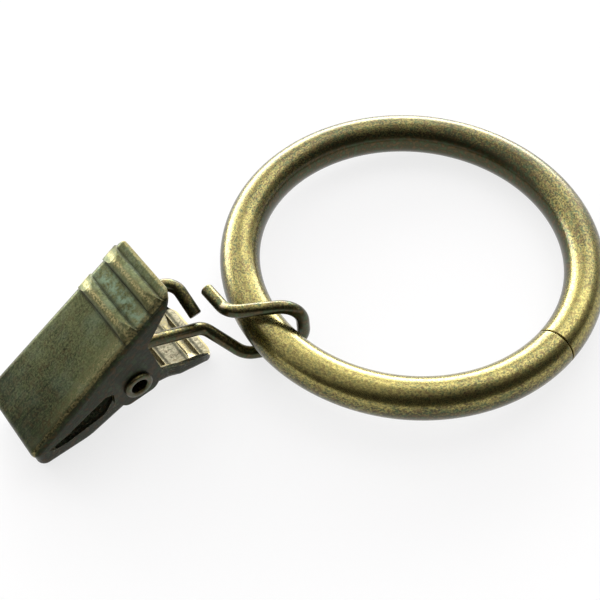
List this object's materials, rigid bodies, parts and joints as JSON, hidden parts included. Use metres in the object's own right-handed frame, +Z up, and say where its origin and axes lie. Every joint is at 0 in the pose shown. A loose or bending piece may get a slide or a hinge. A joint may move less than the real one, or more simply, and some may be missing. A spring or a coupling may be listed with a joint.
{
  "type": "curtain ring with clip",
  "caption": "Antique brass curtain ring with a bent wire link and a sprung clip that grips the top edge of a curtain.",
  "frame": {"origin": "centre of the ring", "axes": "+X to the side away from the clip, +Z up from the surface the ring and clip lie on"},
  "size_m": [0.0736, 0.0525, 0.0169],
  "materials": {
    "ring_brass": "antique, polished",
    "wire_brass": "antique, polished",
    "clip_brass": "antique, brushed",
    "rivet_brass": "antique, polished",
    "spring_steel": "drawn wire"
  },
  "bodies": {
    "ring": {"ring": "ring_brass"},
    "link": {"wire_link": "wire_brass"},
    "lower_clip": {"lower_jaw": "clip_brass", "pivot_rivet": "rivet_brass", "torsion_spring": "spring_steel"},
    "upper_clip": {"upper_jaw": "clip_brass"}
  },
  "joints": [
    {"name": "ring_turn", "type": "hinge", "parent": "ring", "child": "link", "pos_m": [0, 0, 0], "axis": [0.0368, 0.0267, 0.999], "continuous": true},
    {"name": "clip_swing", "type": "hinge", "parent": "link", "child": "lower_clip", "pos_m": [-0.03545, -0.01577, 0.00212], "axis": [-0.6184, 0.7859, 0], "range_deg": [-7, 17]},
    {"name": "clip_open", "type": "hinge", "parent": "lower_clip", "child": "upper_clip", "pos_m": [-0.03545, -0.01577, 0.00212], "axis": [-0.6184, 0.7859, 0], "range_deg": [0, 25], "stiffness_Nm_per_rad": 0.05, "springref_deg": -22.92, "deforming": ["torsion_spring"]}
  ]
}
